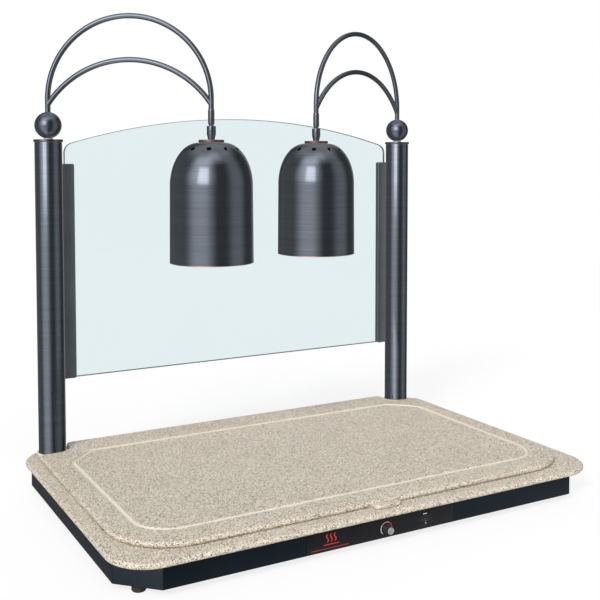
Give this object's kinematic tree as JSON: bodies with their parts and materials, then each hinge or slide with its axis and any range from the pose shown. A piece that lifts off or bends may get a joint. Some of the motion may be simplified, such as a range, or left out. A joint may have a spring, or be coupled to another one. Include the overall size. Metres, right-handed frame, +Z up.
{
  "type": "heated carving station with heat lamps",
  "caption": "Heated stone carving base with a grooved board, glass guard between posts, and bell heat lamps on swinging double-arch arms.",
  "frame": {"origin": "on the table, under the middle of the base", "axes": "+X to the right as the carver faces the controls, +Y towards the glass guard, +Z up"},
  "size_m": [0.9144, 0.6198, 0.889],
  "materials": {
    "black_steel": "black powder coat",
    "bronze_metal": "dark brushed bronze-grey metal, lacquered",
    "copper_metal": "dull copper",
    "stone": "speckled beige simulated stone",
    "seal_stone": "pale cream trim",
    "rubber": "black rubber",
    "steel": "zinc plated or satin steel",
    "black_plastic": "black moulded plastic",
    "panel": "glossy black control label",
    "foil": "foil faced silicone heater blanket",
    "lagging": "mineral wool board",
    "porcelain": "white glazed porcelain",
    "guard_glass": "clear toughened glass",
    "bulb_glass": "frosted heat bulb glass"
  },
  "bodies": {
    "base": {"base_housing": "black_steel", "bottom_cover": "black_steel", "cable_gland": "black_plastic", "control_panel": "panel", "foot_front_left": "rubber", "foot_front_right": "rubber", "foot_rear_left": "rubber", "foot_rear_right": "rubber", "glass_channel_left": "black_steel", "glass_channel_right": "black_steel", "glass_gasket_left": "rubber", "glass_gasket_right": "rubber", "glass_guard": "guard_glass", "heating_blanket": "foil", "insulation_board": "lagging", "post_cap_left": "bronze_metal", "post_cap_right": "bronze_metal", "post_left": "bronze_metal", "post_mount_left": "steel", "post_mount_right": "steel", "post_nut_left": "steel", "post_nut_right": "steel", "post_right": "bronze_metal", "post_seal_left": "seal_stone", "post_seal_right": "seal_stone", "stone_slab": "stone", "switch_housing": "black_plastic", "terminal_block": "porcelain", "thermostat_body": "steel"},
    "board": {"cutting_board": "stone"},
    "thermostat_knob": {"control_knob": "black_plastic", "knob_cap": "steel", "knob_shaft": "steel"},
    "rocker": {"switch_rocker": "black_plastic"},
    "left_arm": {"swivel_stem_left": "steel", "swivel_washer_left": "seal_stone", "ball_left": "bronze_metal", "outer_arch_left": "bronze_metal", "inner_arch_left": "bronze_metal", "arm_sleeve_left": "bronze_metal", "knuckle_collar_left": "bronze_metal"},
    "left_lamp": {"knuckle_ball_left": "bronze_metal", "shade_disk_left": "copper_metal", "lamp_shade_left": "bronze_metal", "lamp_socket_left": "porcelain", "heat_bulb_left": "bulb_glass"},
    "right_arm": {"swivel_stem_right": "steel", "swivel_washer_right": "seal_stone", "ball_right": "bronze_metal", "outer_arch_right": "bronze_metal", "inner_arch_right": "bronze_metal", "arm_sleeve_right": "bronze_metal", "knuckle_collar_right": "bronze_metal"},
    "right_lamp": {"knuckle_ball_right": "bronze_metal", "shade_disk_right": "copper_metal", "lamp_shade_right": "bronze_metal", "lamp_socket_right": "porcelain", "heat_bulb_right": "bulb_glass"}
  },
  "joints": [
    {"name": "left_arm_swivel", "type": "hinge", "parent": "base", "child": "left_arm", "pos_m": [-0.3988, 0.2611, 0.66], "axis": [0, 0, 1], "range_deg": [-57, 15]},
    {"name": "right_arm_swivel", "type": "hinge", "parent": "base", "child": "right_arm", "pos_m": [0.3988, 0.2611, 0.66], "axis": [0, 0, 1], "range_deg": [-4.5, 65]},
    {"name": "left_lamp_tilt", "type": "hinge", "parent": "left_arm", "child": "left_lamp", "pos_m": [-0.13965, 0.09281, 0.6725], "axis": [-0.5446, -0.8387, 0], "range_deg": [-15, 15]},
    {"name": "right_lamp_tilt", "type": "hinge", "parent": "right_arm", "child": "right_lamp", "pos_m": [0.11415, 0.14086, 0.6725], "axis": [0.3891, -0.9212, 0], "range_deg": [-15, 15]},
    {"name": "board_lift", "type": "slide", "parent": "base", "child": "board", "axis": [0, 0, 1], "range_m": [0, 0.06]},
    {"name": "thermostat_turn", "type": "hinge", "parent": "base", "child": "thermostat_knob", "pos_m": [-0.0105, -0.302, 0.0275], "axis": [0, 1, 0], "range_deg": [0, 270]},
    {"name": "rocker_tilt", "type": "hinge", "parent": "base", "child": "rocker", "pos_m": [0.0658, -0.29631, 0.0255], "axis": [-1, 0, 0], "range_deg": [0, 16]}
  ]
}
